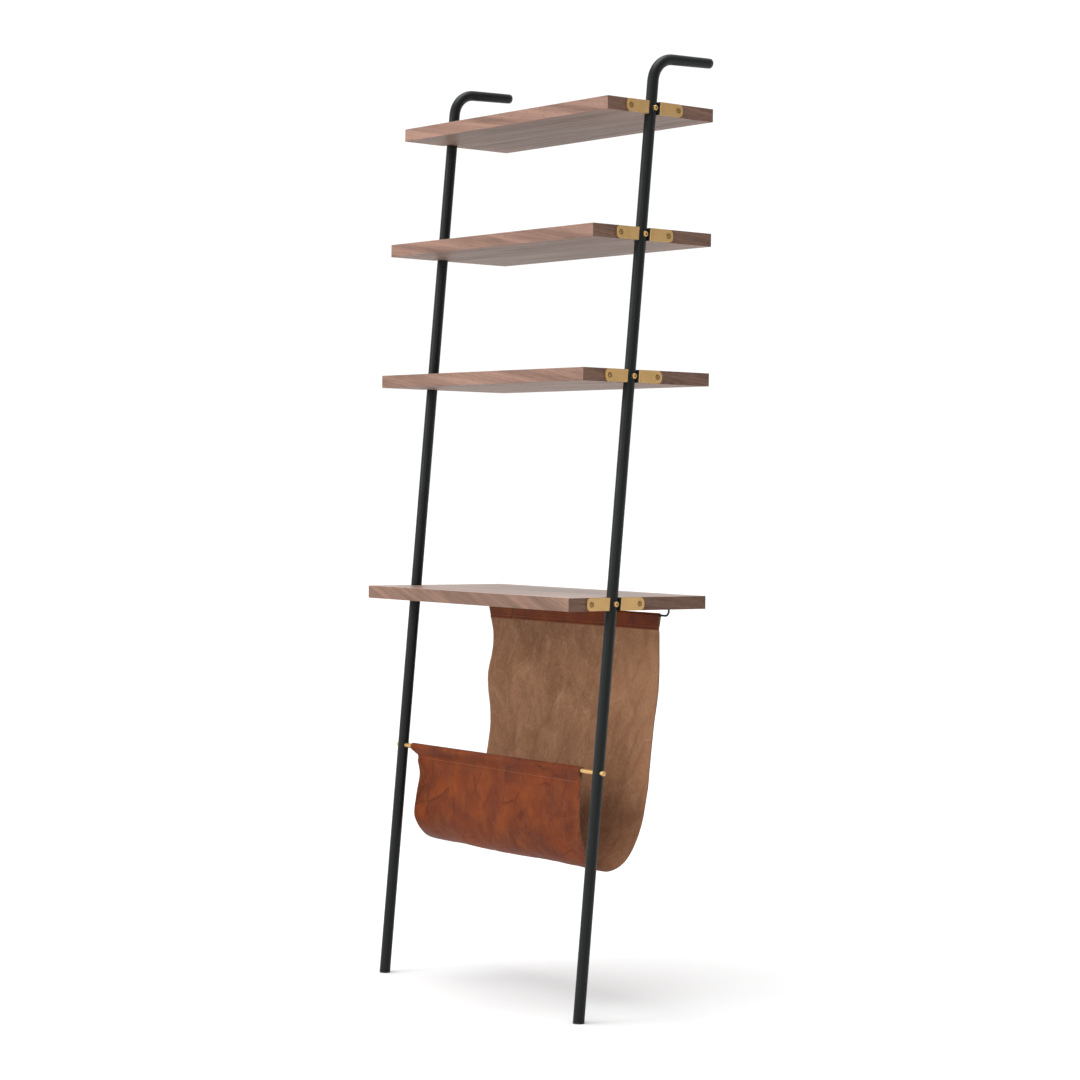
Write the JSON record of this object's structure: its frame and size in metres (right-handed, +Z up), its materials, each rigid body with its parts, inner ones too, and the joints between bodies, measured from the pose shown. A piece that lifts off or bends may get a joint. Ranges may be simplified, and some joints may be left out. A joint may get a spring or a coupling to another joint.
{
  "type": "ladder shelf",
  "caption": "Leaning wall rack with bent black tube poles, walnut boards of stepped depth on brass brackets, and a leather magazine sling under the desk board.",
  "frame": {"origin": "on the floor, under the middle of the overall box", "axes": "+Z up, +Y towards the wall, -Y towards the user, +X to the user's right"},
  "size_m": [0.82, 0.418, 2.2502],
  "materials": {
    "black_steel": "satin black powder coat",
    "black_nylon": "matt black nylon",
    "walnut": "oiled walnut, open grain along the board",
    "brass": "satin brass",
    "leather": "cognac leather, smooth outside and suede inside"
  },
  "bodies": {
    "rack": {"bracket_desk_left": "brass", "bracket_desk_right": "brass", "bracket_middle_left": "brass", "bracket_middle_right": "brass", "bracket_top_left": "brass", "bracket_top_right": "brass", "bracket_upper_left": "brass", "bracket_upper_right": "brass", "foot_glide_left": "black_nylon", "foot_glide_right": "black_nylon", "pole_bolt_desk_left": "brass", "pole_bolt_desk_right": "brass", "pole_bolt_middle_left": "brass", "pole_bolt_middle_right": "brass", "pole_bolt_top_left": "brass", "pole_bolt_top_right": "brass", "pole_bolt_upper_left": "brass", "pole_bolt_upper_right": "brass", "pole_left": "black_steel", "pole_right": "black_steel", "rod_cap_left": "brass", "rod_cap_right": "brass", "rod_ferrule_left": "black_steel", "rod_ferrule_right": "black_steel", "saddle_desk_left": "black_nylon", "saddle_desk_right": "black_nylon", "saddle_middle_left": "black_nylon", "saddle_middle_right": "black_nylon", "saddle_top_left": "black_nylon", "saddle_top_right": "black_nylon", "saddle_upper_left": "black_nylon", "saddle_upper_right": "black_nylon", "screw_desk_left_front": "brass", "screw_desk_left_rear": "brass", "screw_desk_right_front": "brass", "screw_desk_right_rear": "brass", "screw_middle_left_front": "brass", "screw_middle_left_rear": "brass", "screw_middle_right_front": "brass", "screw_middle_right_rear": "brass", "screw_top_left_front": "brass", "screw_top_left_rear": "brass", "screw_top_right_front": "brass", "screw_top_right_rear": "brass", "screw_upper_left_front": "brass", "screw_upper_left_rear": "brass", "screw_upper_right_front": "brass", "screw_upper_right_rear": "brass", "shelf_desk": "walnut", "shelf_middle": "walnut", "shelf_top": "walnut", "shelf_upper": "walnut", "sling_rod_back": "black_steel", "sling_rod_front": "brass", "wall_cap_left": "black_nylon", "wall_cap_right": "black_nylon"},
    "sling": {"leather_sling": "leather"}
  },
  "joints": [
    {"name": "sling_slide", "type": "slide", "parent": "rack", "child": "sling", "axis": [1, 0, 0], "range_m": [-0.002, 0.022]}
  ]
}
